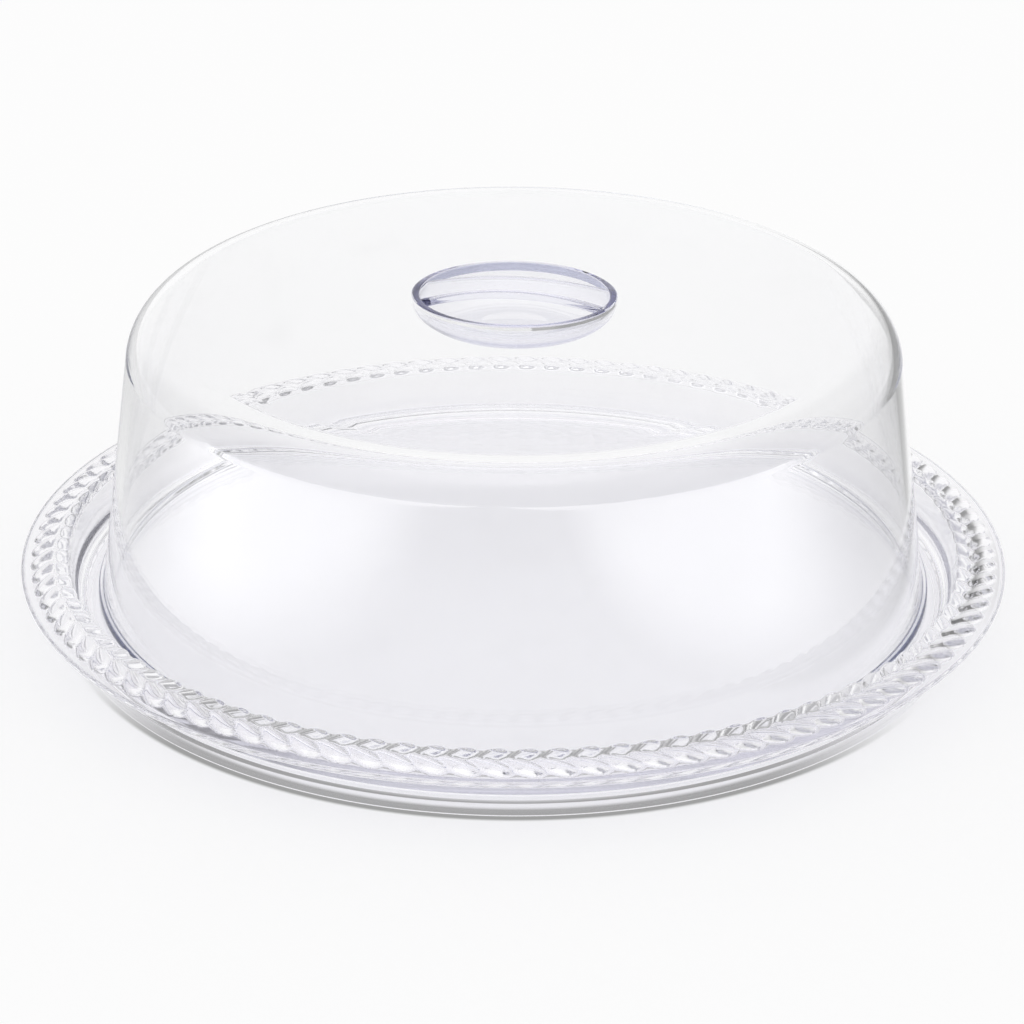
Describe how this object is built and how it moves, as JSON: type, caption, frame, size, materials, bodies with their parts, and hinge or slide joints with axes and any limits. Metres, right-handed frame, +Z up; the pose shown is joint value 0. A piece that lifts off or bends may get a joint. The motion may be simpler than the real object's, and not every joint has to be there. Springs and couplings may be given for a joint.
{
  "type": "cake keeper",
  "caption": "Round clear acrylic cake keeper: footed tray with a braided rim and a lift-off dome with a recessed bar grip in its top.",
  "frame": {"origin": "middle of the tray's foot ring, on the surface that it stands on", "axes": "+Z up along the axis of the tray and the dome; the grip's bar runs along X"},
  "size_m": [0.33, 0.33, 0.1163],
  "materials": {
    "tray_acrylic": "clear moulded acrylic with a faint blue-violet tint, polished",
    "dome_acrylic": "clear moulded acrylic, polished",
    "grip_acrylic": "clear moulded acrylic with a blue-violet tint, polished"
  },
  "bodies": {
    "tray": {"tray": "tray_acrylic"},
    "lid": {"dome": "dome_acrylic", "grip": "grip_acrylic"}
  },
  "joints": [
    {"name": "lid_lift", "type": "slide", "parent": "tray", "child": "lid", "axis": [0, 0, 1], "range_m": [0, 0.2]}
  ]
}
